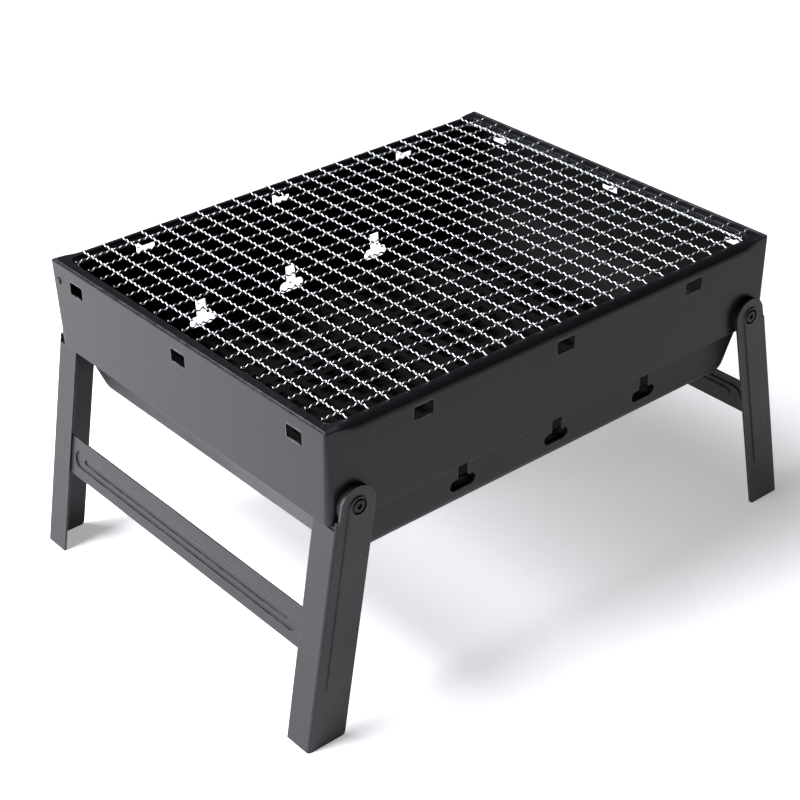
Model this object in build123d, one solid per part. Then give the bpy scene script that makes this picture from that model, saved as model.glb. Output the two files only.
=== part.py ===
from build123d import *
import os

# Folding camp grill. Millimetres, +Z up, X along the long side, floor at Z = 0.
# The body frame, seen from the front (-Y), has its legs splayed out towards -X and +X.

# Body frame
BODY_LENGTH = 350.0
BODY_WIDTH = 275.0
BODY_TOP = 200.0
BODY_BOTTOM = 140.0
BODY_SHEET = 1.0
BODY_CORNER_R = 4.5
RIM_ROLL_R = 2.5
RIM_END_FLANGE = 8.5
RIM_SIDE_FLANGE = 6.5
RIM_LIP_DROP = 3.0
RIM_CORNER_R = 3.0
BOTTOM_LIP = 4.0
BOTTOM_LIP_CORNER_R = 16.0

# Windows in the body frame, with the tabs bent in from them
WINDOW_WIDTH = 14.0
WINDOW_HEIGHT = 8.5
WINDOW_CORNER_R = 1.2
WINDOW_BOTTOM = 183.5
WINDOW_SIDE_SPACING = 107.5
WINDOW_END_SPACING = 110.0
TAB_WIDTH = 13.0
TAB_REACH = 6.5

# Seam rivet on the left end wall
RIVET_Y = 130.5
RIVET_Z = 187.5
RIVET_SHANK_R = 1.4
RIVET_HEAD_R = 2.4
RIVET_HEAD_HEIGHT = 0.8

# Fire pan, which hangs through the bottom of the body frame
PAN_SHEET = 1.0
PAN_BOTTOM = 108.0
PAN_CLEARANCE = 0.7
PAN_END_SLOPE = 12.0
PAN_SIDE_SLOPE = 1.2
PAN_TOP_CORNER_R = 15.0
PAN_BOTTOM_CORNER_R = 20.0
PAN_BEND_R = 9.0
PAN_FLANGE_GAP = 0.6
PAN_NOTCH_WIDTH = 22.0
VENT_SPACING = 74.0
VENT_SLOT_LENGTH = 20.0
VENT_SLOT_HEIGHT = 8.0
VENT_SLOT_Z = 123.0
VENT_STEM_WIDTH = 8.0
VENT_STEM_TOP = 138.0

# Charcoal grate, a punched plate that stands in the fire pan on its turned-down ends
COAL_GRATE_LENGTH = 296.0
COAL_GRATE_WIDTH = 240.0
COAL_GRATE_TOP = 119.0
COAL_GRATE_SHEET = 1.0
COAL_END_WIDTH = 218.0
COAL_HOLE = 9.5
COAL_PITCH = 14.0
COAL_HOLES_X = 20
COAL_HOLES_Y = 16

# Cooking grate, wires in two layers on a border rod
WIRE_R = 0.75
WIRE_PITCH_X = 14.15
WIRE_PITCH_Y = 14.4
CROSS_WIRES = 23
LONG_WIRES = 18
LONG_WIRE_SHIFT = -3.0
LONG_WIRE_ENDS = (-167.5, 168.5)
CROSS_WIRE_ENDS = (-132.5, 135.5)
ROD_R = 1.3
ROD_LEFT = -164.9
ROD_RIGHT = 161.5
ROD_FRONT = -129.4
ROD_BACK = 127.3
ROD_CORNER_R = 9.0
LAYER_GAP = 0.02

# Legs. In a leg's own upright frame the pivot is at the origin.
SPLAY_DEG = 11.0
PIVOT_X = 158.0
PIVOT_Z = 150.5
LEG_SHEET = 1.5
LEG_FLANGE_Y = 142.0
LEG_OUTER_X = 14.0
LEG_INNER_X = 12.0
LEG_FACE_WIDTH = 20.0
LEG_LENGTH = 170.0
LEG_EAR_R = 12.0
LEG_BEND_R = 1.8
FOOT_CORNER_R = 3.0
EAR_SHOULDER = 9.0
EAR_SHOULDER_SLOPE = 2.0
FACE_TOP = 8.0
RIB_WIDTH = 12.6
RIB_TOP = -6.3
RIB_END = 121.0
RIB_RAISE = 0.8
RIB_SHIFT = -0.4
RIB_EDGE_R = 0.7
POCKET_R = 5.1
POCKET_DEPTH = 0.8

# Crossbars between the legs of each pair
BAR_SHEET = 1.2
BAR_TOP = 71.5
BAR_HEIGHT = 26.0
BAR_END_GAP = 0.4
GROOVE_LENGTH = 235.0
GROOVE_WIDTH = 12.5
GROOVE_DEPTH = 0.9
GROOVE_CORE_LENGTH = 216.0
GROOVE_CORE_WIDTH = 4.4
GROOVE_CORE_DEPTH = 0.8

# Pivot screws, spacers and nuts
SCREW_R = 2.5
SCREW_HEAD_R = 4.1
SCREW_HEAD_HEIGHT = 1.7
SCREW_CROWN_R = 1.0
SCREW_SOCKET_R = 2.0
SCREW_SOCKET_DEPTH = 1.2
PIVOT_PLAY = 0.05
EAR_PLAY = 0.1
SPACER_R = 11.8
NUT_FLATS = 8.0
NUT_HEIGHT = 2.6
SCREW_TIP = 0.3

# How far a cutting shape passes the sheet that it cuts, and how closely an edge's place is matched
CUT = 1.0
NEAR = 0.01

# A round shape that stands on its base
BASE = (Align.CENTER, Align.CENTER, Align.MIN)


def slab(length, width, corner_r, low, high):
    """An upright block with rounded vertical corners, from low to high."""
    outline = Plane.XY.offset(low) * RectangleRounded(length, width, corner_r)
    return extrude(outline, high - low)


def ring(outer, inner, low, high):
    """A flat ring; outer and inner are (length, width, corner radius)."""
    cutter = slab(*inner, low - CUT, high + CUT)
    return slab(*outer, low, high) - cutter


def body_shell():
    """The open rolled shell of the body frame, with its top flange and bottom lip."""
    outer = slab(BODY_LENGTH, BODY_WIDTH, BODY_CORNER_R, BODY_BOTTOM, BODY_TOP)
    outer = fillet(outer.edges().group_by(Axis.Z)[-1], RIM_ROLL_R)
    inner = slab(
        BODY_LENGTH - 2 * BODY_SHEET,
        BODY_WIDTH - 2 * BODY_SHEET,
        BODY_CORNER_R - BODY_SHEET,
        BODY_BOTTOM - CUT,
        BODY_TOP - BODY_SHEET,
    )
    inner = fillet(inner.edges().group_by(Axis.Z)[-1], RIM_ROLL_R - BODY_SHEET)
    opening = (
        BODY_LENGTH - 2 * RIM_END_FLANGE,
        BODY_WIDTH - 2 * RIM_SIDE_FLANGE,
        RIM_CORNER_R,
    )
    shell = outer - inner - slab(*opening, BODY_TOP - 2 * BODY_SHEET, BODY_TOP + CUT)
    lip_outer = (opening[0] + 2 * BODY_SHEET, opening[1] + 2 * BODY_SHEET, RIM_CORNER_R + BODY_SHEET)
    shell += ring(lip_outer, opening, BODY_TOP - RIM_LIP_DROP, BODY_TOP - BODY_SHEET / 2)
    wall_inside = (BODY_LENGTH - BODY_SHEET, BODY_WIDTH - BODY_SHEET, BODY_CORNER_R - BODY_SHEET / 2)
    lip_inside = (
        BODY_LENGTH - 2 * (BODY_SHEET + BOTTOM_LIP),
        BODY_WIDTH - 2 * (BODY_SHEET + BOTTOM_LIP),
        BOTTOM_LIP_CORNER_R,
    )
    return shell + ring(wall_inside, lip_inside, BODY_BOTTOM, BODY_BOTTOM + BODY_SHEET)


def window_hole():
    """A window's hole, drawn across a long wall at the origin."""
    sheet = Plane.XZ * Pos(0, WINDOW_BOTTOM + WINDOW_HEIGHT / 2)
    outline = sheet * RectangleRounded(WINDOW_WIDTH, WINDOW_HEIGHT, WINDOW_CORNER_R)
    return extrude(outline, BODY_SHEET + CUT, both=True)


def window_tab():
    """The tab bent in from a window's upper edge, reaching towards +Y from the wall at the origin."""
    reach = TAB_REACH + BODY_SHEET
    tab = Box(TAB_WIDTH, reach, BODY_SHEET, align=(Align.CENTER, Align.MIN, Align.CENTER))
    return Pos(0, BODY_SHEET / 2, WINDOW_BOTTOM + WINDOW_HEIGHT) * tab


def window_places():
    """Where each window stands: a turn about Z, then a shift along the wall and out to it."""
    places = []
    for step in (-1, 0, 1):
        side = step * WINDOW_SIDE_SPACING
        end = step * WINDOW_END_SPACING
        places.append(Pos(side, -BODY_WIDTH / 2, 0))
        places.append(Pos(side, BODY_WIDTH / 2, 0) * Rot(Z=180))
        places.append(Pos(-BODY_LENGTH / 2, end, 0) * Rot(Z=-90))
        places.append(Pos(BODY_LENGTH / 2, end, 0) * Rot(Z=90))
    return places


def body_frame():
    shell = body_shell()
    hole = window_hole()
    tab = window_tab()
    for place in window_places():
        shell -= place * hole
        shell += place * tab
    bore = Rot(X=90) * Cylinder(SCREW_R, BODY_WIDTH + 2 * CUT)
    for side in (-1, 1):
        shell -= Pos(side * PIVOT_X, 0, PIVOT_Z) * bore
    rivet_bore = Rot(Y=90) * Cylinder(RIVET_SHANK_R, 2 * (BODY_SHEET + CUT))
    return shell - Pos(-BODY_LENGTH / 2, RIVET_Y, RIVET_Z) * rivet_bore


def seam_rivet():
    shank = Rot(Y=90) * Cylinder(RIVET_SHANK_R, BODY_SHEET)
    head = Rot(Y=90) * Cylinder(RIVET_HEAD_R, RIVET_HEAD_HEIGHT)
    head = fillet(head.edges().group_by(Axis.X)[0], RIVET_HEAD_HEIGHT / 2)
    offset_x = (BODY_SHEET + RIVET_HEAD_HEIGHT) / 2
    rivet = shank + Pos(-offset_x, 0, 0) * head + Pos(offset_x, 0, 0) * Rot(Z=180) * head
    return Pos(-BODY_LENGTH / 2 + BODY_SHEET / 2, RIVET_Y, RIVET_Z) * rivet


def pan_body(inset):
    """The fire pan's tapered form, drawn inset all round and above its floor."""
    top = BODY_BOTTOM + BODY_SHEET
    half_gap = BODY_SHEET + BOTTOM_LIP + PAN_CLEARANCE + inset
    length = BODY_LENGTH - 2 * half_gap
    width = BODY_WIDTH - 2 * half_gap
    upper = Plane.XY.offset(top) * RectangleRounded(length, width, PAN_TOP_CORNER_R - inset)
    lower_size = (length - 2 * PAN_END_SLOPE, width - 2 * PAN_SIDE_SLOPE, PAN_BOTTOM_CORNER_R - inset)
    lower = Plane.XY.offset(PAN_BOTTOM + inset) * RectangleRounded(*lower_size)
    form = loft([lower, upper])
    form = fillet(form.edges().group_by(Axis.Z)[0], PAN_BEND_R - inset)
    return form + extrude(upper, PAN_SHEET)


def vent_hole():
    """An inverted T, cut through both long walls of the fire pan."""
    sheet = Plane.XZ.offset(-BODY_WIDTH / 2)
    slot = sheet * Pos(0, VENT_SLOT_Z) * SlotOverall(VENT_SLOT_LENGTH, VENT_SLOT_HEIGHT)
    stem_height = VENT_STEM_TOP - VENT_SLOT_Z
    stem = sheet * Pos(0, VENT_SLOT_Z + stem_height / 2) * Rectangle(VENT_STEM_WIDTH, stem_height)
    return extrude(slot, BODY_WIDTH) + extrude(stem, BODY_WIDTH)


def fire_pan():
    rim_low = BODY_BOTTOM + BODY_SHEET
    flange_gap = 2 * (BODY_SHEET + PAN_FLANGE_GAP)
    flange = slab(
        BODY_LENGTH - flange_gap,
        BODY_WIDTH - flange_gap,
        BODY_CORNER_R - BODY_SHEET - PAN_FLANGE_GAP,
        rim_low,
        rim_low + PAN_SHEET,
    )
    pan = pan_body(0) + flange - pan_body(PAN_SHEET)
    wall_y = BODY_WIDTH / 2 - BODY_SHEET - BOTTOM_LIP - PAN_CLEARANCE
    notch_size = (PAN_NOTCH_WIDTH, BOTTOM_LIP + 2 * CUT, 2 * (PAN_SHEET + CUT))
    notch = Box(*notch_size, align=(Align.CENTER, Align.MIN, Align.CENTER))
    for side in (-1, 1):
        pan -= Pos(side * PIVOT_X, wall_y, rim_low + PAN_SHEET) * notch
        pan -= Pos(side * PIVOT_X, -wall_y, rim_low + PAN_SHEET) * Rot(Z=180) * notch
    vent = vent_hole()
    for step in (-1, 0, 1):
        pan -= Pos(step * VENT_SPACING, 0, 0) * vent
    return pan


def charcoal_grate():
    low = COAL_GRATE_TOP - COAL_GRATE_SHEET
    plate = Rectangle(COAL_GRATE_LENGTH, COAL_GRATE_WIDTH)
    holes = GridLocations(COAL_PITCH, COAL_PITCH, COAL_HOLES_X, COAL_HOLES_Y) * Rectangle(COAL_HOLE, COAL_HOLE)
    grate = extrude(Plane.XY.offset(low) * (plate - holes), COAL_GRATE_SHEET)
    floor = PAN_BOTTOM + PAN_SHEET
    end_x = (COAL_GRATE_LENGTH - COAL_GRATE_SHEET) / 2
    end = Box(
        COAL_GRATE_SHEET,
        COAL_END_WIDTH,
        COAL_GRATE_TOP - floor,
        align=(Align.CENTER, Align.CENTER, Align.MIN),
    )
    for side in (-1, 1):
        grate += Pos(side * end_x, 0, floor) * end
    return grate


def long_wires():
    """The wires along X, the lower layer, which rest on the body frame's top flange."""
    low, high = LONG_WIRE_ENDS
    wire = Pos((low + high) / 2, 0, BODY_TOP + WIRE_R) * Rot(Y=90) * Cylinder(WIRE_R, high - low)
    first = LONG_WIRE_SHIFT - WIRE_PITCH_Y * (LONG_WIRES - 1) / 2
    return Compound(children=[Pos(0, first + n * WIRE_PITCH_Y, 0) * wire for n in range(LONG_WIRES)])


def cross_wires():
    """The wires along Y, the upper layer."""
    low, high = CROSS_WIRE_ENDS
    height = BODY_TOP + 3 * WIRE_R + LAYER_GAP
    wire = Pos(0, (low + high) / 2, height) * Rot(X=90) * Cylinder(WIRE_R, high - low)
    first = -WIRE_PITCH_X * (CROSS_WIRES - 1) / 2
    return Compound(children=[Pos(first + n * WIRE_PITCH_X, 0, 0) * wire for n in range(CROSS_WIRES)])


def border_rod():
    """The rod loop below the wires, which sits inside the body frame's top opening."""
    centre = Pos((ROD_LEFT + ROD_RIGHT) / 2, (ROD_FRONT + ROD_BACK) / 2, BODY_TOP - ROD_R - LAYER_GAP)
    loop = RectangleRounded(ROD_RIGHT - ROD_LEFT, ROD_BACK - ROD_FRONT, ROD_CORNER_R)
    path = (centre * loop).face().outer_wire()
    section = Plane(path @ 0, z_dir=path % 0) * Circle(ROD_R)
    return sweep(section, path=path, transition=Transition.ROUND)


def leg_blank():
    """An upright leg for the front left, before its top and foot are cut."""
    flange_depth = (LEG_FLANGE_Y - LEG_SHEET, LEG_FLANGE_Y)
    outline = make_face(
        Polyline(
            (-LEG_EAR_R, 0),
            (-LEG_EAR_R, -EAR_SHOULDER),
            (-LEG_OUTER_X, -EAR_SHOULDER - EAR_SHOULDER_SLOPE),
            (-LEG_OUTER_X, -LEG_LENGTH),
            (LEG_INNER_X, -LEG_LENGTH),
            (LEG_INNER_X, 0),
            close=True,
        )
    )
    outline += Circle(LEG_EAR_R)
    flange = extrude(Plane.XZ.offset(flange_depth[0]) * outline, LEG_SHEET)
    face = Box(LEG_SHEET, LEG_FACE_WIDTH, LEG_LENGTH - FACE_TOP, align=(Align.MIN, Align.MIN, Align.MAX))
    leg = flange + Pos(-LEG_OUTER_X, -LEG_FLANGE_Y, -FACE_TOP) * face
    bend = leg.edges().filter_by(Axis.Z).group_by(Axis.Y)[0].group_by(Axis.X)[0].sort_by(Edge.length)[-1]
    return fillet(bend, LEG_BEND_R)


def leg_rib():
    """The rib pressed out of a leg's flange, with round ends."""
    middle = -(RIB_TOP + RIB_END) / 2
    rib = Rot(Z=90) * SlotOverall(RIB_END - RIB_TOP, RIB_WIDTH)
    raised = extrude(Plane.XZ.offset(LEG_FLANGE_Y) * Pos(RIB_SHIFT, middle) * rib, RIB_RAISE)
    return fillet(raised.edges().group_by(Axis.Y)[0], RIB_EDGE_R)


def place_leg(shape):
    """Splay an upright shape about its pivot and carry it to the front left pivot."""
    return Pos(-PIVOT_X, 0, PIVOT_Z) * Rot(Y=SPLAY_DEG) * shape


def front_left_leg():
    leg = leg_blank() + leg_rib()
    across_flange = Pos(0, -LEG_FLANGE_Y, 0) * Rot(X=90)
    bore = across_flange * Cylinder(SCREW_R + PIVOT_PLAY, 2 * (LEG_SHEET + CUT))
    pocket = across_flange * Pos(0, 0, -POCKET_DEPTH) * Cylinder(POCKET_R, POCKET_DEPTH + CUT, align=BASE)
    leg = place_leg(leg - bore - pocket)
    below_floor = Box(LEG_LENGTH, LEG_FLANGE_Y, LEG_LENGTH, align=(Align.CENTER, Align.CENTER, Align.MAX))
    leg -= Pos(-PIVOT_X, -LEG_FLANGE_Y, 0) * below_floor
    beside_body = Box(LEG_LENGTH, LEG_FACE_WIDTH, LEG_LENGTH, align=(Align.CENTER, Align.MIN, Align.MIN))
    leg -= Pos(-PIVOT_X, -LEG_FLANGE_Y + LEG_SHEET, BODY_BOTTOM) * beside_body
    foot_edges = leg.edges().filter_by(Axis.Y).filter_by_position(Axis.Z, -NEAR, NEAR)
    return fillet(foot_edges.sort_by(Axis.X)[-1], FOOT_CORNER_R)


def groove(length, width, near, far):
    """A straight pressed channel along a crossbar, between two distances from the pivot line."""
    middle = -(BAR_TOP + BAR_HEIGHT / 2)
    slot = Plane.YZ.offset(near) * Pos(0, middle) * SlotOverall(length, width)
    return extrude(slot, far - near)


def left_crossbar():
    outer_x = -LEG_OUTER_X + LEG_SHEET
    inner_x = outer_x + BAR_SHEET
    length = 2 * (LEG_FLANGE_Y - LEG_SHEET - BAR_END_GAP)
    plate = Box(BAR_SHEET, length, BAR_HEIGHT, align=(Align.MIN, Align.CENTER, Align.MAX))
    bar = Pos(outer_x, 0, -BAR_TOP) * plate
    step = GROOVE_DEPTH
    core = GROOVE_DEPTH + GROOVE_CORE_DEPTH
    wall = BAR_SHEET
    bar += groove(GROOVE_LENGTH + wall, GROOVE_WIDTH + wall, outer_x, inner_x + step)
    bar += groove(GROOVE_CORE_LENGTH + wall, GROOVE_CORE_WIDTH + wall, outer_x, inner_x + core)
    bar -= groove(GROOVE_LENGTH, GROOVE_WIDTH, outer_x, outer_x + step)
    bar -= groove(GROOVE_CORE_LENGTH, GROOVE_CORE_WIDTH, outer_x, outer_x + core)
    return place_leg(bar)


def across_wall(radius, low, high):
    """A disc or shank across the front wall at the origin, between two distances from Y = 0."""
    return Pos(0, -(low + high) / 2, 0) * Rot(X=90) * Cylinder(radius, high - low)


def pivot_screw():
    seat = LEG_FLANGE_Y - POCKET_DEPTH + PIVOT_PLAY
    head = across_wall(SCREW_HEAD_R, seat, seat + SCREW_HEAD_HEIGHT)
    head = fillet(head.edges().group_by(Axis.Y)[0], SCREW_CROWN_R)
    tip = BODY_WIDTH / 2 - BODY_SHEET - NUT_HEIGHT - SCREW_TIP
    screw = head + across_wall(SCREW_R, tip, seat)
    socket_floor = seat + SCREW_HEAD_HEIGHT - SCREW_SOCKET_DEPTH
    socket = extrude(Plane.XZ.offset(socket_floor) * RegularPolygon(SCREW_SOCKET_R, 6), 2 * SCREW_SOCKET_DEPTH)
    return screw - socket


def pivot_spacer():
    wall = BODY_WIDTH / 2
    spacer = across_wall(SPACER_R, wall, LEG_FLANGE_Y - LEG_SHEET - EAR_PLAY)
    return spacer - across_wall(SCREW_R, wall - CUT, LEG_FLANGE_Y)


def pivot_nut():
    face = BODY_WIDTH / 2 - BODY_SHEET
    hexagon = RegularPolygon(NUT_FLATS / 2, 6, major_radius=False)
    nut = extrude(Plane.XZ.offset(face - NUT_HEIGHT) * hexagon, NUT_HEIGHT)
    return nut - across_wall(SCREW_R, face - NUT_HEIGHT - CUT, face + CUT)


def write(name, shape):
    export_step(shape, f"parts/{name}.step")


def write_pivot_sets():
    """Four pivots: the front left one is drawn, and the others are its mirror images."""
    pieces = {"pivot_screw": pivot_screw(), "pivot_spacer": pivot_spacer(), "pivot_nut": pivot_nut()}
    for name, piece in pieces.items():
        write_four(name, Pos(-PIVOT_X, 0, PIVOT_Z) * piece)


def write_four(name, front_left):
    front_right = mirror(front_left, Plane.YZ)
    write(f"{name}_front_left", front_left)
    write(f"{name}_front_right", front_right)
    write(f"{name}_rear_left", mirror(front_left, Plane.XZ))
    write(f"{name}_rear_right", mirror(front_right, Plane.XZ))


def main():
    os.makedirs("parts", exist_ok=True)
    write("body_frame", body_frame())
    write("seam_rivet", seam_rivet())
    write("fire_pan", fire_pan())
    write("charcoal_grate", charcoal_grate())
    write("grill_wires_long", long_wires())
    write("grill_wires_cross", cross_wires())
    write("grill_border_rod", border_rod())
    write_four("leg", front_left_leg())
    crossbar = left_crossbar()
    write("crossbar_left", crossbar)
    write("crossbar_right", mirror(crossbar, Plane.YZ))
    write_pivot_sets()


main()
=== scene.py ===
import math
import random

import bmesh
import bpy
from bpy.props import FloatProperty, FloatVectorProperty, IntProperty, PointerProperty
from mathutils import Matrix, Quaternion, Vector


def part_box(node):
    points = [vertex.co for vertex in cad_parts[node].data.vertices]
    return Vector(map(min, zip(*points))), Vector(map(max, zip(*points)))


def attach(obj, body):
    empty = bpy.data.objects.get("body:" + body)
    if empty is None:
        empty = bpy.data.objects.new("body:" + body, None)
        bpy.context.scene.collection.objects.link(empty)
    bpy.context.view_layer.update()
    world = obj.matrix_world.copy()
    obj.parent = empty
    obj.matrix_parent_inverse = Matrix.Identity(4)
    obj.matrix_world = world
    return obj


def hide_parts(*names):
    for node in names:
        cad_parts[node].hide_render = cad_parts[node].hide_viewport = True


bl_info = {
    "name": "Folding camp grill",
    "version": (1, 0, 0),
    "blender": (4, 5, 0),
    "location": "3D View > Sidebar > Camp grill",
    "description": "Models and finishes a folding camp grill round its fixed frame",
    "category": "Add Mesh",
}

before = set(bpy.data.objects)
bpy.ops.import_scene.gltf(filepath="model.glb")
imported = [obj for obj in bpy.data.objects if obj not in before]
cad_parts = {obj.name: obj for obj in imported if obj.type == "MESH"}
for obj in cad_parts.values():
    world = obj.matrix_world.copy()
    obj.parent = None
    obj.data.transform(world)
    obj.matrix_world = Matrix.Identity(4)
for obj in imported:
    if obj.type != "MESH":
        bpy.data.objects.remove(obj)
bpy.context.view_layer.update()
MM = 0.001
CORNERS = ("front_left", "front_right", "rear_left", "rear_right")
BODY_LOW, BODY_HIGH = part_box("body_frame")
LONG_LOW, LONG_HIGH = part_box("grill_wires_long")
CROSS_LOW, CROSS_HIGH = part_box("grill_wires_cross")
BODY_HEIGHT = BODY_HIGH.z - BODY_LOW.z

# The frame's straight wires, whose spacing the crimped ones keep
FRAME_WIRE = 1.5 * MM
CROSS_CELLS = 22
LONG_CELLS = 17

# How finely the shapes are divided
WALL_CUTS = 95
CORNER_SEGMENTS = 9
WINDOW_CORNER_SEGMENTS = 4
TAB_BEND_STEPS = 5
ROD_CORNER_SEGMENTS = 14
SHANK_SIDES = 24

# Small sizes, and shares of a setting
WINDOW_CORNER = 1.2 * MM
SHANK_RADIUS = 2.5 * MM
WIRE_CLEARANCE = 0.05 * MM
WELD_DISTANCE = 0.02 * MM
HEM_BEND = 0.45
TAB_WIDTH = 0.92
HARD_EDGE = math.radians(42)

# Each soft light's place, the spot that it looks at, and its size
LEFT_SOFTBOX = ((-1.9, 0.5, 0.8), (-0.6, 0.1, 0.0), (1.2, 1.0))
TOP_SOFTBOX = ((-0.7, 0.7, 2.0), (0, 0, 0.12), (1.2, 1.2))


# ---------------------------------------------------------------- settings


class BodySettings(bpy.types.PropertyGroup):
    """Sizes of the body frame's sheet, rim and windows."""

    sheet: FloatProperty(
        name="Sheet", description="Thickness of the sheet",
        default=0.9 * MM, unit="LENGTH",
    )
    corner: FloatProperty(
        name="Corner", description="Radius of the upright corners at their foot",
        default=5.5 * MM, unit="LENGTH",
    )
    rim_corner: FloatProperty(
        name="Rim corner", description="Radius of the upright corners at the rim",
        default=1.6 * MM, unit="LENGTH",
    )
    opening_corner: FloatProperty(
        name="Opening corner", description="Corner radius of the top opening",
        default=3 * MM, unit="LENGTH",
    )
    roll_depth: FloatProperty(
        name="Roll depth", description="Height of the rolled long edge",
        default=6.5 * MM, unit="LENGTH",
    )
    roll_width: FloatProperty(
        name="Roll width", description="Width of the rolled long edge",
        default=5.2 * MM, unit="LENGTH",
    )
    side_flange: FloatProperty(
        name="Side flange", description="Rim width along the long sides",
        default=6.5 * MM, unit="LENGTH",
    )
    end_flange: FloatProperty(
        name="End flange", description="Rim width along the short sides",
        default=8.5 * MM, unit="LENGTH",
    )
    lip_drop: FloatProperty(
        name="Lip drop", description="Depth of the rim's inner lip",
        default=3 * MM, unit="LENGTH",
    )
    hem_pitch: FloatProperty(
        name="Hem pitch", description="Width of one ridge of the hemmed short edge",
        default=1.6 * MM, unit="LENGTH",
    )
    hem_depth: FloatProperty(
        name="Hem depth", description="Depth of the groove in the hemmed short edge",
        default=0.44 * MM, unit="LENGTH",
    )
    bottom_lip: FloatProperty(
        name="Bottom lip", description="Width of the lip that holds the pan",
        default=5 * MM, unit="LENGTH",
    )
    bottom_lip_corner: FloatProperty(
        name="Bottom lip corner", description="Inner corner radius of that lip",
        default=16 * MM, unit="LENGTH",
    )
    window_width: FloatProperty(
        name="Window width", description="Width of a window",
        default=14 * MM, unit="LENGTH",
    )
    window_height: FloatProperty(
        name="Window height", description="Height of a window", default=8.5 * MM, unit="LENGTH"
    )
    window_bottom: FloatProperty(
        name="Window bottom", description="Height of the windows' lower edge",
        default=183.5 * MM, unit="LENGTH",
    )
    window_spacing_side: FloatProperty(
        name="Side spacing", description="Window spacing on the long sides",
        default=107.5 * MM, unit="LENGTH",
    )
    window_spacing_end: FloatProperty(
        name="End spacing", description="Window spacing on the short sides",
        default=110 * MM, unit="LENGTH",
    )
    tab_reach: FloatProperty(
        name="Tab reach", description="How far a tab reaches inwards",
        default=6.5 * MM, unit="LENGTH",
    )
    edge_bevel: FloatProperty(
        name="Edge bevel", description="Softness of cut edges",
        default=0.18 * MM, unit="LENGTH",
    )


class WireSettings(bpy.types.PropertyGroup):
    """Sizes of the cooking grate's crimped wires."""

    radius: FloatProperty(
        name="Wire radius", description="Radius of a wire",
        default=0.55 * MM, unit="LENGTH",
    )
    crimp: FloatProperty(
        name="Crimp", description="Half height of a wire's waves",
        default=0.62 * MM, unit="LENGTH",
    )
    waves: IntProperty(name="Waves per cell", description="Waves between two crossings", default=3)
    steps: IntProperty(name="Steps per wave", description="Points along one wave", default=7)
    bow: FloatProperty(
        name="Bow", description="How far a wire wanders from straight",
        default=0.22 * MM, unit="LENGTH",
    )
    rod_corner: FloatProperty(
        name="Rod corner", description="Corner radius of the rod",
        default=9 * MM, unit="LENGTH",
    )
    rod_drop: FloatProperty(
        name="Rod drop", description="How far the rod hangs below its place in the frame",
        default=3.1 * MM, unit="LENGTH",
    )
    rod_gap: FloatProperty(
        name="Rod gap", description="Space between the rod and the opening's edge",
        default=0.3 * MM, unit="LENGTH",
    )
    seed: IntProperty(name="Seed", description="Seed of the wires' unevenness", default=7)


class FinishSettings(bpy.types.PropertyGroup):
    """Colours of the finishes."""

    coat: FloatVectorProperty(
        name="Powder coat", description="Colour of the outer coat",
        default=(0.0088, 0.009, 0.0102), subtype="COLOR",
    )
    pan_coat: FloatVectorProperty(
        name="Pan coat", description="Colour of the fire pan's coat",
        default=(0.016, 0.0155, 0.018), subtype="COLOR",
    )
    # Painted shade: the darker colour that the faces inside the body and the pan, and the charcoal
    # grate, take.
    inner: FloatVectorProperty(
        name="Inner shade coat",
        description="Colour of the inner heat-proof coat",
        default=(0.0025, 0.0025, 0.0025),
        subtype="COLOR",
    )
    # The edges' colour: partly worn coat, partly a painted highlight where edges catch the light.
    edge_wear_highlight: FloatVectorProperty(
        name="Rubbed and highlighted edge",
        description="Colour of the coat where edges are rubbed",
        default=(0.2, 0.2, 0.21),
        subtype="COLOR",
    )
    chrome: FloatVectorProperty(
        name="Chrome", description="Colour of the chromed wire",
        default=(0.46, 0.47, 0.48), subtype="COLOR",
    )
    zinc: FloatVectorProperty(
        name="Zinc", description="Colour of the plated nuts",
        default=(0.62, 0.61, 0.57), subtype="COLOR",
    )
    rubber: FloatVectorProperty(
        name="Rubber", description="Colour of the pivot spacers",
        default=(0.008, 0.008, 0.008), subtype="COLOR",
    )


class StageSettings(bpy.types.PropertyGroup):
    """The camera, the lights and the floor."""

    azimuth: FloatProperty(
        name="Azimuth", description="The camera's turn from the front",
        default=math.radians(-40.131), subtype="ANGLE",
    )
    elevation: FloatProperty(
        name="Elevation", description="The camera's height angle",
        default=math.radians(31.354), subtype="ANGLE",
    )
    roll: FloatProperty(
        name="Roll", description="The camera's tilt about its own axis",
        default=math.radians(-1.004), subtype="ANGLE",
    )
    shift: FloatVectorProperty(
        name="Shift", description="The lens's shift, across and up", default=(-0.04, 0.01), size=2
    )
    lens: FloatProperty(name="Lens", description="Focal length in millimetres", default=83.593)
    camera_place: FloatVectorProperty(
        name="Camera place", description="Where the camera stands",
        default=(-0.6584, -0.7979, 0.7132), unit="LENGTH",
    )
    floor_size: FloatProperty(
        name="Floor size", description="Width of the floor",
        default=14.0, unit="LENGTH",
    )
    floor_colour: FloatVectorProperty(
        name="Floor colour", description="Colour of the floor",
        default=(0.86, 0.86, 0.86), subtype="COLOR",
    )
    floor_glow: FloatProperty(
        name="Floor glow", description="Light that the floor gives off",
        default=0.42,
    )
    light_colour: FloatVectorProperty(
        name="Light colour", description="Colour of the soft lights",
        default=(0.93, 0.95, 1.0), subtype="COLOR",
    )
    key_power: FloatProperty(
        name="Key light", description="Power of the left light",
        default=108.0, unit="POWER",
    )
    top_power: FloatProperty(
        name="Top light", description="Power of the overhead light",
        default=60.0, unit="POWER",
    )
    world_strength: FloatProperty(
        name="Room light", description="Strength of the light all round",
        default=0.05,
    )


# ---------------------------------------------------------------- modelling helpers


def start_clean():
    """Nothing selected, object mode."""
    if bpy.context.object and bpy.context.object.mode != "OBJECT":
        bpy.ops.object.mode_set(mode="OBJECT")
    bpy.ops.object.select_all(action="DESELECT")


def only(piece):
    """Make a piece the only one selected, and active."""
    start_clean()
    piece.select_set(True)
    bpy.context.view_layer.objects.active = piece


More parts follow.
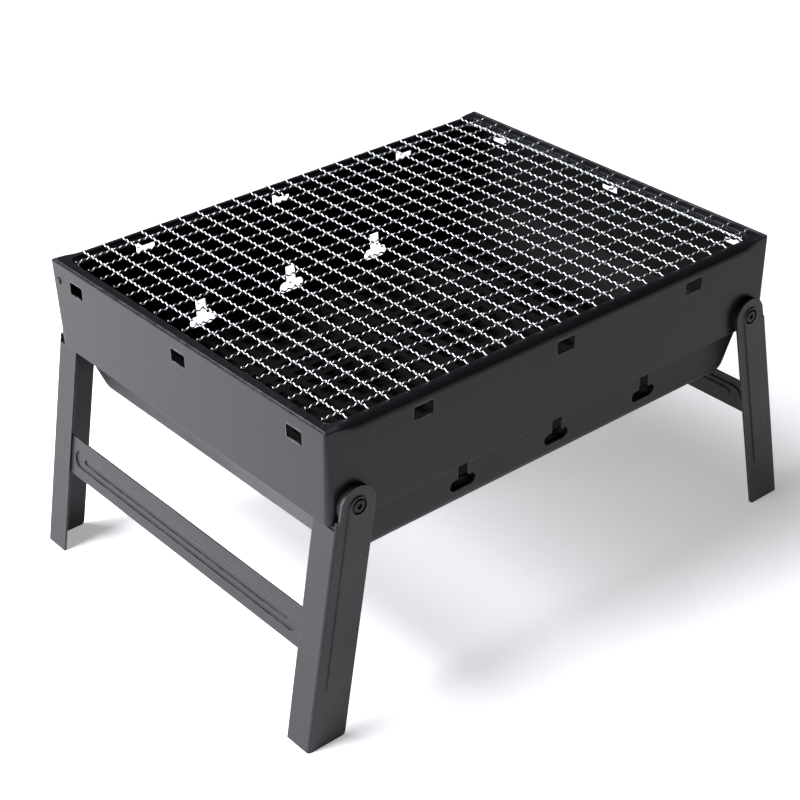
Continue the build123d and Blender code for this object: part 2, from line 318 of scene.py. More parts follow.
def apply_all(piece):
    """Apply every modifier of a piece, in order."""
    only(piece)
    for modifier in list(piece.modifiers):
        bpy.ops.object.modifier_apply(modifier=modifier.name)


def settle(piece, name, body, material):
    """Name a finished piece, put its place in its mesh, and give it its body and finish."""
    only(piece)
    bpy.ops.object.transform_apply(location=True, rotation=True, scale=True)
    piece.name = name
    piece.data.name = name
    piece.data.materials.clear()
    piece.data.materials.append(material)
    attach(piece, body)


def ease(value):
    """A smooth step from 0 to 1."""
    value = min(max(value, 0.0), 1.0)
    return value * value * (3 - 2 * value)


def arc(centre, width, height, start, end, steps):
    """Points on an upright ellipse, in (inward, up), with the angles in degrees."""
    points = []
    for k in range(steps + 1):
        angle = math.radians(start + (end - start) * k / steps)
        points.append((centre[0] + width * math.cos(angle), centre[1] + height * math.sin(angle)))
    return points


# ---------------------------------------------------------------- materials


def node(tree, kind, **values):
    """Add a node; values set its properties, or its inputs where a name has a capital letter."""
    made = tree.nodes.new(kind)
    for key, value in values.items():
        if key[0].isupper():
            made.inputs[key.replace("_", " ")].default_value = value
        else:
            setattr(made, key, value)
    return made


def group_socket(group, name, direction, kind, default=None):
    """Add a named input or output to a node group."""
    made = group.interface.new_socket(name=name, in_out=direction, socket_type=kind)
    if default is not None:
        made.default_value = default


def edge_wear_highlight_group():
    """A mask that is 1 on outer edges, broken up by noise; it marks worn edges and painted edge
    highlights.
    """
    name = "Edge wear"
    if name in bpy.data.node_groups:
        return bpy.data.node_groups[name]
    group = bpy.data.node_groups.new(name, "ShaderNodeTree")
    group_socket(group, "Radius", "INPUT", "NodeSocketFloat", 0.6 * MM)
    group_socket(group, "Break up", "INPUT", "NodeSocketFloat", 160.0)
    group_socket(group, "Mask", "OUTPUT", "NodeSocketFloat")
    given = group.nodes.new("NodeGroupInput")
    out = group.nodes.new("NodeGroupOutput")
    links = group.links
    bevel = node(group, "ShaderNodeBevel", samples=4)
    geometry = node(group, "ShaderNodeNewGeometry")
    dot = node(group, "ShaderNodeVectorMath", operation="DOT_PRODUCT")
    rise = node(group, "ShaderNodeMapRange", From_Min=0.995, From_Max=0.8, To_Min=0.0, To_Max=1.0)
    place = node(group, "ShaderNodeTexCoord")
    noise = node(group, "ShaderNodeTexNoise", Detail=3.0)
    gaps = node(group, "ShaderNodeMapRange", From_Min=0.38, From_Max=0.62, To_Min=0.25, To_Max=1.0)
    product = node(group, "ShaderNodeMath", operation="MULTIPLY")
    links.new(given.outputs["Radius"], bevel.inputs["Radius"])
    links.new(bevel.outputs["Normal"], dot.inputs[0])
    links.new(geometry.outputs["Normal"], dot.inputs[1])
    links.new(dot.outputs["Value"], rise.inputs["Value"])
    links.new(place.outputs["Object"], noise.inputs["Vector"])
    links.new(given.outputs["Break up"], noise.inputs["Scale"])
    links.new(noise.outputs["Fac"], gaps.inputs["Value"])
    links.new(rise.outputs["Result"], product.inputs[0])
    links.new(gaps.outputs["Result"], product.inputs[1])
    links.new(product.outputs["Value"], out.inputs["Mask"])
    return group


def coat_grain_group():
    """A baked coat: a fine peel for the bump, and a slow cloud for colour and gloss."""
    name = "Coat grain"
    if name in bpy.data.node_groups:
        return bpy.data.node_groups[name]
    group = bpy.data.node_groups.new(name, "ShaderNodeTree")
    group_socket(group, "Peel scale", "INPUT", "NodeSocketFloat", 900.0)
    group_socket(group, "Cloud scale", "INPUT", "NodeSocketFloat", 22.0)
    group_socket(group, "Peel", "OUTPUT", "NodeSocketFloat")
    group_socket(group, "Cloud", "OUTPUT", "NodeSocketFloat")
    given = group.nodes.new("NodeGroupInput")
    out = group.nodes.new("NodeGroupOutput")
    links = group.links
    place = node(group, "ShaderNodeTexCoord")
    peel = node(group, "ShaderNodeTexNoise", Detail=2.0, Roughness=0.6)
    cloud = node(group, "ShaderNodeTexNoise", Detail=4.0, Roughness=0.55)
    links.new(place.outputs["Object"], peel.inputs["Vector"])
    links.new(place.outputs["Object"], cloud.inputs["Vector"])
    links.new(given.outputs["Peel scale"], peel.inputs["Scale"])
    links.new(given.outputs["Cloud scale"], cloud.inputs["Scale"])
    links.new(peel.outputs["Fac"], out.inputs["Peel"])
    links.new(cloud.outputs["Fac"], out.inputs["Cloud"])
    return group


def blank_material(name):
    """A material with only a Principled shader and its output."""
    material = bpy.data.materials.new(name)
    material.use_nodes = True
    tree = material.node_tree
    return material, tree, tree.nodes["Principled BSDF"]


def rgba(colour, factor=1.0):
    """A setting's colour as a socket takes it, made darker or lighter by a factor."""
    return (colour[0] * factor, colour[1] * factor, colour[2] * factor, 1.0)


def placed_group(tree, group):
    """Place a node group in a material."""
    made = tree.nodes.new("ShaderNodeGroup")
    made.node_tree = group
    return made


def coated(
    name,
    colour,
    gloss,
    rubbed_and_highlighted=None,
    peel_height=0.02,
    cloud=0.35,
    wear_and_highlight_radius=0.6,
    metallic=0.0,
    shine=0.17,
):
    """A coated or plated metal.

    Gloss is the lowest and highest roughness, and shine the strength of the reflections. The
    peel height and the edge mask's radius are in millimetres. The edge colour is partly worn coat
    and partly a painted highlight.
    """
    if name in bpy.data.materials:
        return bpy.data.materials[name]
    material, tree, shader = blank_material(name)
    links = tree.links
    grain = placed_group(tree, coat_grain_group())
    tone = node(tree, "ShaderNodeMix", data_type="RGBA")
    tone.inputs["A"].default_value = rgba(colour, 1 - cloud)
    tone.inputs["B"].default_value = rgba(colour, 1 + cloud)
    links.new(grain.outputs["Cloud"], tone.inputs["Factor"])
    colour_out = tone.outputs["Result"]
    rough = node(tree, "ShaderNodeMapRange", From_Min=0.3, From_Max=0.7)
    rough.inputs["To Min"].default_value, rough.inputs["To Max"].default_value = gloss
    links.new(grain.outputs["Cloud"], rough.inputs["Value"])
    # Lighter edges: partly worn coat, partly a painted highlight where edges catch the light.
    if rubbed_and_highlighted is not None:
        wear_and_highlight = placed_group(tree, edge_wear_highlight_group())
        wear_and_highlight.inputs["Radius"].default_value = wear_and_highlight_radius * MM
        wear_and_highlight_mix = node(tree, "ShaderNodeMix", data_type="RGBA")
        wear_and_highlight_mix.inputs["B"].default_value = rgba(rubbed_and_highlighted)
        links.new(wear_and_highlight.outputs["Mask"], wear_and_highlight_mix.inputs["Factor"])
        links.new(colour_out, wear_and_highlight_mix.inputs["A"])
        colour_out = wear_and_highlight_mix.outputs["Result"]
    links.new(colour_out, shader.inputs["Base Color"])
    links.new(rough.outputs["Result"], shader.inputs["Roughness"])
    bump = node(tree, "ShaderNodeBump", Strength=1.0, Distance=peel_height * MM)
    links.new(grain.outputs["Peel"], bump.inputs["Height"])
    links.new(bump.outputs["Normal"], shader.inputs["Normal"])
    shader.inputs["Metallic"].default_value = metallic
    shader.inputs["Specular IOR Level"].default_value = shine
    return material


def powder_coat():
    """The body's glossy coat, lighter along its edges: partly worn, partly painted highlight."""
    finish = bpy.context.scene.grill_finish
    return coated("Powder coat", finish.coat, (0.27, 0.36), finish.edge_wear_highlight, wear_and_highlight_radius=0.75)


def leg_coat():
    """The legs' and crossbars' duller coat, lighter along its edges: partly worn, partly painted
    highlight.
    """
    finish = bpy.context.scene.grill_finish
    return coated(
        "Leg coat",
        finish.coat,
        (0.36, 0.48),
        finish.edge_wear_highlight,
        cloud=0.4,
        shine=0.3,
        wear_and_highlight_radius=0.3,
    )


def pan_coat():
    """The pan's coat, with painted shade: faces that look inwards take the darker, duller inner
    colour.
    """
    finish = bpy.context.scene.grill_finish
    # Lighter edges: partly worn, partly painted highlight.
    material = coated("Pan coat", finish.pan_coat, (0.38, 0.5), finish.edge_wear_highlight, cloud=0.3)
    tree = material.node_tree
    links = tree.links
    shader = tree.nodes["Principled BSDF"]
    # Painted shade: a mask of the faces that look inwards, which take the darker inner colour.
    place = node(tree, "ShaderNodeTexCoord")
    level = node(tree, "ShaderNodeVectorMath", operation="MULTIPLY")
    level.inputs[1].default_value = (1, 1, 0)
    outward = node(tree, "ShaderNodeVectorMath", operation="DOT_PRODUCT")
    up = node(tree, "ShaderNodeSeparateXYZ")
    lifted = node(tree, "ShaderNodeMath", operation="MULTIPLY_ADD")
    lifted.inputs[1].default_value = -0.1
    shaded_inside = node(tree, "ShaderNodeMath", operation="LESS_THAN")
    shaded_inside.inputs[1].default_value = 0.0
    links.new(place.outputs["Object"], level.inputs[0])
    links.new(level.outputs["Vector"], outward.inputs[0])
    links.new(place.outputs["Normal"], outward.inputs[1])
    links.new(place.outputs["Normal"], up.inputs["Vector"])
    links.new(up.outputs["Z"], lifted.inputs[0])
    links.new(outward.outputs["Value"], lifted.inputs[2])
    links.new(lifted.outputs["Value"], shaded_inside.inputs[0])
    for socket, dull in (("Base Color", rgba(finish.inner)), ("Roughness", (0.75, 0.75, 0.75, 1))):
        link = shader.inputs[socket].links[0]
        blend = node(tree, "ShaderNodeMix", data_type="RGBA")
        blend.inputs["B"].default_value = dull
        links.new(link.from_socket, blend.inputs["A"])
        links.new(shaded_inside.outputs["Value"], blend.inputs["Factor"])
        links.new(blend.outputs["Result"], shader.inputs[socket])
    return material


def shaded_inner_coat():
    """Painted shade: a darker, duller coat for the inside of the body and for the charcoal grate.
    """
    finish = bpy.context.scene.grill_finish
    # Its edges take the outer coat's colour: partly worn, partly painted highlight.
    return coated("Inner shade coat", finish.inner, (0.6, 0.8), finish.coat, cloud=0.6, shine=0.14)


def chromed():
    """The crimped wires' finish."""
    finish = bpy.context.scene.grill_finish
    return coated(
        "Chromed wire", finish.chrome, (0.3, 0.42), peel_height=0.004, cloud=0.12, metallic=1.0
    )


def chromed_rod():
    """The border rod's smoother finish."""
    finish = bpy.context.scene.grill_finish
    return coated(
        "Chromed rod", finish.chrome, (0.22, 0.32), peel_height=0.003, cloud=0.05, metallic=1.0
    )


def black_steel():
    """The screws' and the rivet's finish, lighter along its edges: partly worn, partly painted
    highlight.
    """
    finish = bpy.context.scene.grill_finish
    return coated(
        "Blackened steel",
        finish.coat,
        (0.3, 0.42),
        (0.1, 0.1, 0.1),
        peel_height=0.01,
        wear_and_highlight_radius=0.3,
    )


def plated():
    """The nuts' finish."""
    finish = bpy.context.scene.grill_finish
    return coated(
        "Zinc plate", finish.zinc, (0.25, 0.4), peel_height=0.01, cloud=0.15, metallic=1.0
    )


def rubber():
    """The pivot spacers' finish."""
    finish = bpy.context.scene.grill_finish
    return coated("Spacer rubber", finish.rubber, (0.65, 0.85), peel_height=0.03, cloud=0.3)


# ---------------------------------------------------------------- the body frame


def end_rim(body):
    """The hemmed rim over a short side, from the wall up, as (inward, up) from the top edge."""
    bend = body.hem_pitch * HEM_BEND
    top = [(0.0, -body.roll_depth + (body.roll_depth - bend) * k / 4) for k in range(4)]
    top += arc((bend, -bend), bend, bend, 180, 90, 4)
    for k in range(1, 7):
        wave = body.hem_depth * (1 - math.cos(math.pi * k / 2)) / 2
        top.append((bend + body.hem_pitch * k / 4, -wave))
    lip = body.sheet
    top.append((body.end_flange * 0.65, -body.hem_depth))
    top += arc((body.end_flange - lip, -body.hem_depth - lip), lip, lip, 90, 0, 3)
    top.append((body.end_flange, -body.lip_drop))
    return top


def side_rim(body, count):
    """The rolled rim over a long side, with as many points as the hemmed one."""
    lip = body.sheet
    steps = count - 7
    top = arc((body.roll_width, -body.roll_depth), body.roll_width, body.roll_depth, 180, 90, steps)
    top.append((body.roll_width + (body.side_flange - lip - body.roll_width) / 2, 0.0))
    top += arc((body.side_flange - lip, -lip), lip, lip, 90, 0, 3)
    top.append((body.side_flange, -body.lip_drop))
    return top


def under_rim(body, flange, bend, depth, drop):
    """The underside of a rim, from its lip back to the wall."""
    inner = flange - body.sheet
    below = -drop - body.sheet
    points = [(inner, -body.lip_drop), (inner, below)]
    points += arc((bend, -depth), bend - body.sheet, depth + below, 90, 180, 4)
    return points


def rounded_distance(x, y, half_x, half_y, radius):
    """Signed distance to a rounded rectangle, negative inside."""
    over_x = abs(x) - half_x + radius
    over_y = abs(y) - half_y + radius
    outside = math.hypot(max(over_x, 0.0), max(over_y, 0.0))
    return outside + min(max(over_x, over_y), 0.0) - radius


def corner_radius(body, depth, drop):
    """The corner radius of the loop at a depth inside the outline and a drop below the rim."""
    wall = body.rim_corner + (body.corner - body.rim_corner) * drop / BODY_HEIGHT
    if drop > BODY_HEIGHT / 2:
        inner = body.bottom_lip_corner * ease(depth / body.bottom_lip)
    else:
        inner = body.opening_corner * ease(depth / body.side_flange - 0.3)
    return max(wall - depth, inner, body.sheet / 4)


def station(body, spot):
    """The middle of the corner that an outline point turns about, and the way outwards."""
    core_x = BODY_HIGH.x - body.corner
    core_y = BODY_HIGH.y - body.corner
    core = Vector((min(max(spot.x, -core_x), core_x), min(max(spot.y, -core_y), core_y), 0))
    return core, (Vector((spot.x, spot.y, 0)) - core).normalized()


def ring_spot(body, core, outward, depth, drop):
    """Where a station stands on the loop at a depth and a drop."""
    radius = corner_radius(body, depth, drop)
    spot = outward * radius
    for axis in (0, 1):
        limit = BODY_HIGH[axis] - depth - radius
        at_corner = abs(core[axis]) > BODY_HIGH[axis] - body.corner - body.sheet / 100
        reach = limit if at_corner else min(abs(core[axis]), limit)
        spot[axis] += math.copysign(reach, core[axis])
    spot.z = BODY_HIGH.z - drop
    return spot


def section(body, ends, sides, rolled):
    """Depth and drop of every point of the sheet's section, as a closed loop."""
    bend = body.sheet * 1.3
    lip = body.bottom_lip
    foot = arc((bend, bend - BODY_HEIGHT), bend, bend, 270, 180, 4)
    outer = [(lip, BODY_HEIGHT), (lip / 2, BODY_HEIGHT)]
    outer += [(depth, -drop) for depth, drop in foot]
    rim = []
    for a, b in zip(ends, sides):
        rim.append((a[0] + (b[0] - a[0]) * rolled, -a[1] - (b[1] - a[1]) * rolled))
    top = BODY_HEIGHT - body.sheet
    return outer + rim + [(body.sheet, top), (lip / 2, top), (lip, top)]


def body_outline(body):
    """The body's outline as a loop of edges, with round corners, in edit mode."""
    start_clean()
    bpy.ops.mesh.primitive_plane_add(size=1.0, location=(0, 0, 0))
    outline = bpy.context.object
    bpy.ops.object.mode_set(mode="EDIT")
    bpy.ops.transform.resize(value=(2 * BODY_HIGH.x, 2 * BODY_HIGH.y, 1))
    bpy.ops.mesh.bevel(offset=body.corner, segments=CORNER_SEGMENTS, affect="VERTICES")
    bpy.ops.mesh.delete(type="ONLY_FACE")
    mesh = bmesh.from_edit_mesh(outline.data)
    for edge in mesh.edges:
        edge.select_set(edge.calc_length() > 2 * body.corner)
    bmesh.update_edit_mesh(outline.data)
    bpy.ops.mesh.subdivide(number_cuts=WALL_CUTS)
    return outline


def pull_sheet(body, outline):
    """Pull the outline through the sheet's section, one extruded loop at a time."""
    ends = end_rim(body)
    sides = side_rim(body, len(ends))
    hem_bend = body.hem_pitch * HEM_BEND + body.sheet
    ends = ends + under_rim(
        body, body.end_flange, hem_bend + body.sheet, body.sheet * 3, body.hem_depth
    )
    sides = sides + under_rim(body, body.side_flange, body.roll_width, body.roll_depth, 0.0)
    mesh = bmesh.from_edit_mesh(outline.data)
    mark = mesh.verts.layers.int.new("station")
    loops = []
    for number, vertex in enumerate(mesh.verts):
        vertex[mark] = number
        core, outward = station(body, vertex.co)
        from_end = BODY_HIGH.x - abs(vertex.co.x)
        rolled = ease((from_end / body.roll_depth - 0.6) / 2.8)
        rows = section(body, ends, sides, rolled)
        loops.append([ring_spot(body, core, outward, *point) for point in rows])
        vertex.co = loops[-1][0]
        vertex.select_set(True)
    mesh.select_flush(True)
    bmesh.update_edit_mesh(outline.data)
    for row in list(range(1, len(loops[0]))) + [0]:
        bpy.ops.mesh.extrude_edges_move()
        mesh = bmesh.from_edit_mesh(outline.data)
        mark = mesh.verts.layers.int["station"]
        for vertex in mesh.verts:
            if vertex.select:
                vertex.co = loops[vertex[mark]][row]
        bmesh.update_edit_mesh(outline.data)
    bpy.ops.mesh.select_all(action="SELECT")
    bpy.ops.mesh.remove_doubles(threshold=WELD_DISTANCE)
    bpy.ops.mesh.normals_make_consistent(inside=False)
    bpy.ops.object.mode_set(mode="OBJECT")


def window_stands(body):
    """Each window's place on its wall, and its turn about Z."""
    stands = []
    for step in (-1, 0, 1):
        side = step * body.window_spacing_side
        end = step * body.window_spacing_end
        stands += [(side, BODY_LOW.y, 0.0), (side, BODY_HIGH.y, math.pi)]
        stands += [(BODY_LOW.x, end, -math.pi / 2), (BODY_HIGH.x, end, math.pi / 2)]
    return stands


def join(pieces):
    """Join pieces into the first."""
    start_clean()
    for piece in pieces:
        piece.select_set(True)
    bpy.context.view_layer.objects.active = pieces[0]
    bpy.ops.object.join()
    return pieces[0]


def window_cutter(body):
    """A block with rounded edges for each window, and a shank for each pivot, as one cutter."""
    cutters = []
    middle = body.window_bottom + body.window_height / 2
    for x, y, turn in window_stands(body):
        start_clean()
        bpy.ops.mesh.primitive_cube_add(size=1.0, location=(x, y, middle), rotation=(0, 0, turn))
        block = bpy.context.object
        block.scale = (body.window_width, 3 * body.bottom_lip, body.window_height)
        bpy.ops.object.transform_apply(location=False, rotation=False, scale=True)
        bpy.ops.object.mode_set(mode="EDIT")
        mesh = bmesh.from_edit_mesh(block.data)
        for edge in mesh.edges:
            along = edge.verts[1].co - edge.verts[0].co
            edge.select_set(abs(along.y) > body.bottom_lip)
        bmesh.update_edit_mesh(block.data)
        bpy.ops.mesh.bevel(offset=WINDOW_CORNER, segments=WINDOW_CORNER_SEGMENTS)
        bpy.ops.object.mode_set(mode="OBJECT")
        cutters.append(block)
    for corner in CORNERS:
        low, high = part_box("pivot_spacer_" + corner)
        middle = (low + high) / 2
        bpy.ops.mesh.primitive_cylinder_add(
            vertices=SHANK_SIDES,
            radius=SHANK_RADIUS,
            depth=4 * body.bottom_lip,
            location=middle,
            rotation=(math.pi / 2, 0, 0),
        )
        cutters.append(bpy.context.object)
    return join(cutters)


def window_tab(body, x, y, turn):
    """A tab bent inwards from a window's upper edge, drawn at the front and turned to its wall."""
    start_clean()
    width = body.window_width * TAB_WIDTH
    radius = body.sheet * 1.1
    bpy.ops.mesh.primitive_plane_add(size=1.0, location=(0, 0, 0))
    tab = bpy.context.object
    bpy.ops.object.mode_set(mode="EDIT")
    bpy.ops.transform.resize(value=(width, body.sheet, 1))
    bpy.ops.transform.translate(value=(0, body.sheet / 2, radius))
    turn_step = Matrix.Rotation(math.pi / 2 / TAB_BEND_STEPS, 4, "X")
    centre = Vector((0, body.sheet + radius, radius))
    for _ in range(TAB_BEND_STEPS):
        bpy.ops.mesh.extrude_region_move(TRANSFORM_OT_translate={"value": (0, 0, 0)})
        mesh = bmesh.from_edit_mesh(tab.data)
        for vertex in [v for v in mesh.verts if v.select]:
            vertex.co = centre + turn_step @ (vertex.co - centre)
        bmesh.update_edit_mesh(tab.data)
    reach = (0, body.tab_reach - radius, 0)
    bpy.ops.mesh.extrude_region_move(TRANSFORM_OT_translate={"value": reach})
    bpy.ops.mesh.select_all(action="SELECT")
    bpy.ops.mesh.normals_make_consistent(inside=False)
    bpy.ops.object.mode_set(mode="OBJECT")
    tab.rotation_euler = (0, 0, turn)
    tab.location = (x, y, body.window_bottom + body.window_height)
    return tab


def soften(piece, width):
    """Soften hard edges and shade the piece smooth."""
    only(piece)
    bpy.ops.object.shade_smooth()
    bevel = piece.modifiers.new("Soft edges", "BEVEL")
    bevel.width = width
    bevel.segments = 2
    bevel.limit_method = "ANGLE"
    bevel.angle_limit = HARD_EDGE
    bevel.harden_normals = True
    weighted = piece.modifiers.new("Even shading", "WEIGHTED_NORMAL")
    weighted.keep_sharp = True
    apply_all(piece)


def paint_inner_shade(body, piece, inner):
    """Paint shade on the faces that look inwards: they take the darker, duller inner colour."""
    piece.data.materials.append(inner)
    rim = body.lip_drop * 0.8
    for face in piece.data.polygons:
        centre = face.center
        deep = -rounded_distance(centre.x, centre.y, BODY_HIGH.x, BODY_HIGH.y, body.corner)
        below_rim = centre.z < BODY_HIGH.z - rim
        if below_rim and deep > body.sheet / 2:
            face.material_index = 1


class GRILL_OT_body(bpy.types.Operator):
    """Model the rolled body frame with its hemmed and rolled rims, windows and tabs"""

    bl_idname = "grill.body"
    bl_label = "Body frame"

    def execute(self, context):
        body = context.scene.grill_body
        shell = body_outline(body)
        pull_sheet(body, shell)
        cutter = window_cutter(body)
        only(shell)
        cut = shell.modifiers.new("Windows", "BOOLEAN")
        cut.operation = "DIFFERENCE"
        cut.solver = "EXACT"
        cut.object = cutter
        apply_all(shell)
        bpy.data.objects.remove(cutter)
        soften(shell, body.edge_bevel)
        tabs = [window_tab(body, *stand) for stand in window_stands(body)]
        tab_sheet = join(tabs)
        soften(tab_sheet, body.edge_bevel)
        join([shell, tab_sheet])
        settle(shell, "body_shell", "body", powder_coat())
        # The inward faces take painted shade.
        paint_inner_shade(body, shell, shaded_inner_coat())
        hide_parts("body_frame")
        return {"FINISHED"}


# ---------------------------------------------------------------- the cooking grate


def crimped_points(wire, start, length, pitch, crest, bow):
    """The line of one crimped wire; crest is 1 where it passes over at a crossing, and -1 under."""
    step = pitch / wire.waves / wire.steps
    count = int(round(length / step))
    points = []
    for k in range(count + 1):
        along = start + length * k / count
        wave = crest * wire.crimp * math.cos(2 * math.pi * wire.waves * along / pitch)
        sway = wire.bow * bow[0] + wire.bow * math.sin(bow[1] + bow[2] * along / length * math.pi)
        points.append((along, sway, wave))
    return points


def wires(wire, box, across, pitch, crest, height, seed):
    """One layer of crimped wires as a single piece; across is True for the wires along Y."""
    low, high = box
    chance = random.Random(seed)
    start_clean()
    bpy.ops.curve.primitive_bezier_curve_add(location=(0, 0, 0))
    layer = bpy.context.object
    layer.data.splines.clear()
    layer.data.dimensions = "3D"
    layer.data.bevel_depth = wire.radius
    layer.data.bevel_resolution = 2
    layer.data.use_fill_caps = True
    span = (high.x - low.x) if across else (high.y - low.y)
    start, length = (low.y, high.y - low.y) if across else (low.x, high.x - low.x)
    first = (low.x if across else low.y) + wire.radius
    count = int(round((span - 2 * wire.radius) / pitch[0])) + 1
    gap = (span - 2 * wire.radius) / (count - 1)
    for number in range(count):
        bow = (chance.uniform(-1, 1), chance.uniform(0, 6), chance.uniform(0.6, 1.6))
        line = crimped_points(wire, start, length, pitch[1], crest, bow)
        spline = layer.data.splines.new("POLY")
        spline.points.add(len(line) - 1)
        offset = first + gap * number
        for point, (along, sway, wave) in zip(spline.points, line):
            side = offset + sway
            x, y = (side, along) if across else (along, side)
            point.co = (x, y, height + wave, 1)
    bpy.ops.object.convert(target="MESH")
    bpy.ops.object.shade_smooth()
    return bpy.context.object


class GRILL_OT_wires(bpy.types.Operator):
    """Model the crimped wires of the cooking grate, locked over each other"""

    bl_idname = "grill.wires"
    bl_label = "Cooking grate wires"

    def execute(self, context):
        wire = context.scene.grill_wire
        pitch_x = (CROSS_HIGH.x - CROSS_LOW.x - FRAME_WIRE) / CROSS_CELLS
        pitch_y = (LONG_HIGH.y - LONG_LOW.y - FRAME_WIRE) / LONG_CELLS
        height = LONG_LOW.z + wire.radius + wire.crimp + WIRE_CLEARANCE
        long_layer = wires(
            wire, (LONG_LOW, LONG_HIGH), False, (pitch_y, pitch_x), -1, height, wire.seed
        )
        settle(long_layer, "crimped_wires_long", "cooking_grate", chromed())
        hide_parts("grill_wires_long")
        cross_layer = wires(
            wire, (CROSS_LOW, CROSS_HIGH), True, (pitch_x, pitch_y), 1, height, wire.seed + 1
        )
        settle(cross_layer, "crimped_wires_cross", "cooking_grate", chromed())
        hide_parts("grill_wires_cross")
        return {"FINISHED"}


class GRILL_OT_rod(bpy.types.Operator):
    """Model the smooth rod that runs round the cooking grate below its wires"""

    bl_idname = "grill.rod"
    bl_label = "Cooking grate rod"

    def execute(self, context):
        wire = context.scene.grill_wire
        body = context.scene.grill_body
        low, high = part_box("grill_border_rod")
        radius = (high.z - low.z) / 2
        length = 2 * (BODY_HIGH.x - body.end_flange - wire.rod_gap - radius)
        width = 2 * (BODY_HIGH.y - body.side_flange - wire.rod_gap - radius)
        start_clean()
        bpy.ops.mesh.primitive_plane_add(size=1.0, location=(0, 0, 0))
        loop = bpy.context.object
        bpy.ops.object.mode_set(mode="EDIT")
        bpy.ops.transform.resize(value=(length, width, 1))
        bpy.ops.mesh.bevel(
            offset=wire.rod_corner, segments=ROD_CORNER_SEGMENTS, affect="VERTICES"
        )
        bpy.ops.mesh.delete(type="ONLY_FACE")
        bpy.ops.mesh.select_all(action="SELECT")
        bpy.ops.transform.translate(value=(0, 0, low.z + radius - wire.rod_drop))
        bpy.ops.object.mode_set(mode="OBJECT")
        bpy.ops.object.convert(target="CURVE")
        loop.data.bevel_depth = radius
        loop.data.bevel_resolution = 4
        bpy.ops.object.convert(target="MESH")
        bpy.ops.object.shade_smooth()
        settle(loop, "border_rod", "cooking_grate", chromed_rod())
        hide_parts("grill_border_rod")
        return {"FINISHED"}


# ---------------------------------------------------------------- finishes of the frame's own parts


def finish_node(name, material):
    """Give one of the frame's own parts its finish."""
    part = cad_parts[name]
    part.data.materials.clear()
    part.data.materials.append(material)


class GRILL_OT_sheet_parts(bpy.types.Operator):
    """Finish the fire pan, the charcoal grate, the legs and the crossbars"""

    bl_idname = "grill.sheet_parts"
    bl_label = "Pan, legs and crossbars"

    def execute(self, context):
        finish_node("fire_pan", pan_coat())
        # The charcoal grate takes the darker inner colour as painted shade.
        finish_node("charcoal_grate", shaded_inner_coat())
        for corner in CORNERS:
            finish_node("leg_" + corner, leg_coat())
        for side in ("left", "right"):
            finish_node("crossbar_" + side, leg_coat())
        return {"FINISHED"}


class GRILL_OT_hardware(bpy.types.Operator):
    """Finish the pivot screws, spacers and nuts, and the seam rivet"""

    bl_idname = "grill.hardware"
    bl_label = "Screws, spacers and nuts"

    def execute(self, context):
        for corner in CORNERS:
            finish_node("pivot_screw_" + corner, black_steel())
            finish_node("pivot_spacer_" + corner, rubber())
            finish_node("pivot_nut_" + corner, plated())
        finish_node("seam_rivet", black_steel())
        return {"FINISHED"}


# ---------------------------------------------------------------- the stage


def aim(target, place, subject):
    """Stand a light at a place, looking at a subject."""
    target.location = place
    target.rotation_euler = (Vector(subject) - Vector(place)).to_track_quat("-Z", "Y").to_euler()


def softbox(name, stand, power):
    """Add one soft light."""
    place, subject, size = stand
    start_clean()
    bpy.ops.object.light_add(type="AREA", location=(0, 0, 0))
    light = bpy.context.object
    light.name = name
    light.data.shape = "RECTANGLE"
    light.data.size, light.data.size_y = size
    light.data.energy = power
    light.data.color = bpy.context.scene.grill_stage.light_colour
    aim(light, place, subject)


def stand_camera(stage):
    """Add the camera at its place, turned and shifted."""
    start_clean()
    bpy.ops.object.camera_add(location=stage.camera_place)
    camera = bpy.context.object
    flat = math.cos(stage.elevation)
    back = Vector(
        (math.sin(stage.azimuth) * flat, -math.cos(stage.azimuth) * flat, math.sin(stage.elevation))
    )
    turn = back.to_track_quat("Z", "Y") @ Quaternion((0, 0, 1), stage.roll)
    camera.rotation_euler = turn.to_euler()
    camera.data.lens = stage.lens
    camera.data.sensor_width = 36
    camera.data.shift_x, camera.data.shift_y = stage.shift
    camera.data.clip_end = 40
    bpy.context.scene.camera = camera


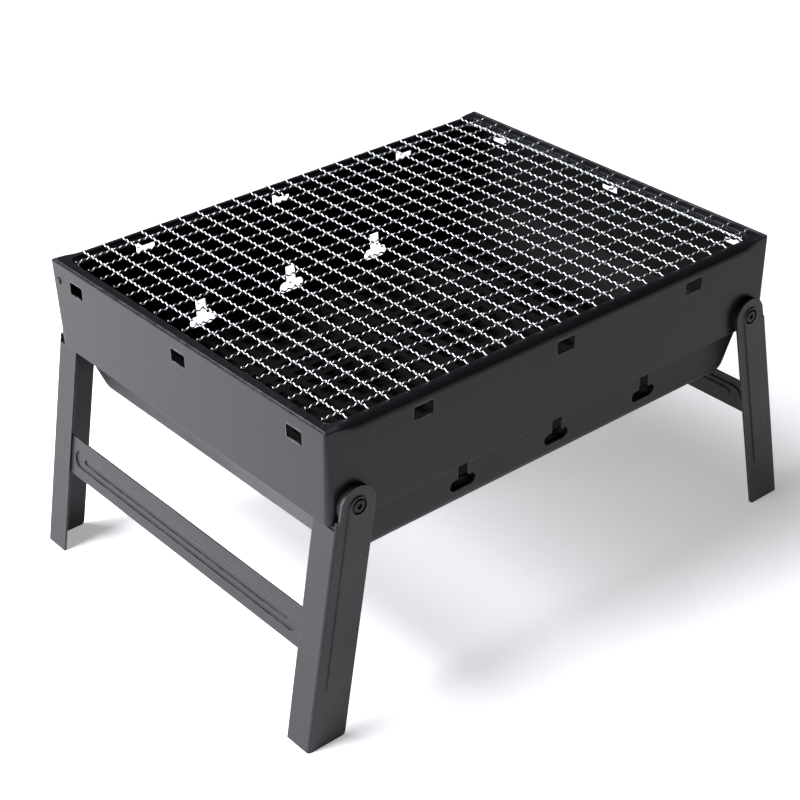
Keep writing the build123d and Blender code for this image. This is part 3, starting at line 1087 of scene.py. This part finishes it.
class GRILL_OT_stage(bpy.types.Operator):
    """Set the floor, the soft lights and the camera"""

    bl_idname = "grill.stage"
    bl_label = "Stage"

    def execute(self, context):
        stage = context.scene.grill_stage
        start_clean()
        bpy.ops.mesh.primitive_plane_add(size=stage.floor_size, location=(0, 0, 0))
        floor = bpy.context.object
        floor.name = "floor"
        material, _, shader = blank_material("Pale floor")
        shader.inputs["Base Color"].default_value = rgba(stage.floor_colour)
        shader.inputs["Roughness"].default_value = 0.9
        shader.inputs["Emission Color"].default_value = rgba(stage.floor_colour)
        shader.inputs["Emission Strength"].default_value = stage.floor_glow
        floor.data.materials.append(material)
        softbox("Left softbox", LEFT_SOFTBOX, stage.key_power)
        softbox("Top softbox", TOP_SOFTBOX, stage.top_power)
        world = context.scene.world or bpy.data.worlds.new("Room")
        context.scene.world = world
        world.use_nodes = True
        background = world.node_tree.nodes["Background"]
        background.inputs["Color"].default_value = rgba(stage.light_colour)
        background.inputs["Strength"].default_value = stage.world_strength
        context.scene.view_settings.view_transform = "Standard"
        stand_camera(stage)
        return {"FINISHED"}


# ---------------------------------------------------------------- panel and registration


OPERATORS = (
    GRILL_OT_stage,
    GRILL_OT_body,
    GRILL_OT_wires,
    GRILL_OT_rod,
    GRILL_OT_sheet_parts,
    GRILL_OT_hardware,
)
SETTINGS = {
    "grill_body": BodySettings,
    "grill_wire": WireSettings,
    "grill_finish": FinishSettings,
    "grill_stage": StageSettings,
}


class GRILL_PT_panel(bpy.types.Panel):
    """The grill's pieces, in the order they are made"""

    bl_idname = "GRILL_PT_panel"
    bl_label = "Camp grill"
    bl_space_type = "VIEW_3D"
    bl_region_type = "UI"
    bl_category = "Camp grill"

    def draw(self, context):
        for operator in OPERATORS:
            self.layout.operator(operator.bl_idname)


def register():
    for group in SETTINGS.values():
        bpy.utils.register_class(group)
    for name, group in SETTINGS.items():
        setattr(bpy.types.Scene, name, PointerProperty(type=group))
    for item in (*OPERATORS, GRILL_PT_panel):
        bpy.utils.register_class(item)


def unregister():
    for item in reversed((*OPERATORS, GRILL_PT_panel)):
        bpy.utils.unregister_class(item)
    for name, group in reversed(list(SETTINGS.items())):
        delattr(bpy.types.Scene, name)
        bpy.utils.unregister_class(group)


def main():
    register()
    bpy.ops.grill.stage()
    bpy.ops.grill.body()
    bpy.ops.grill.wires()
    bpy.ops.grill.rod()
    bpy.ops.grill.sheet_parts()
    bpy.ops.grill.hardware()
    start_clean()


if __name__ == "__main__":
    main()
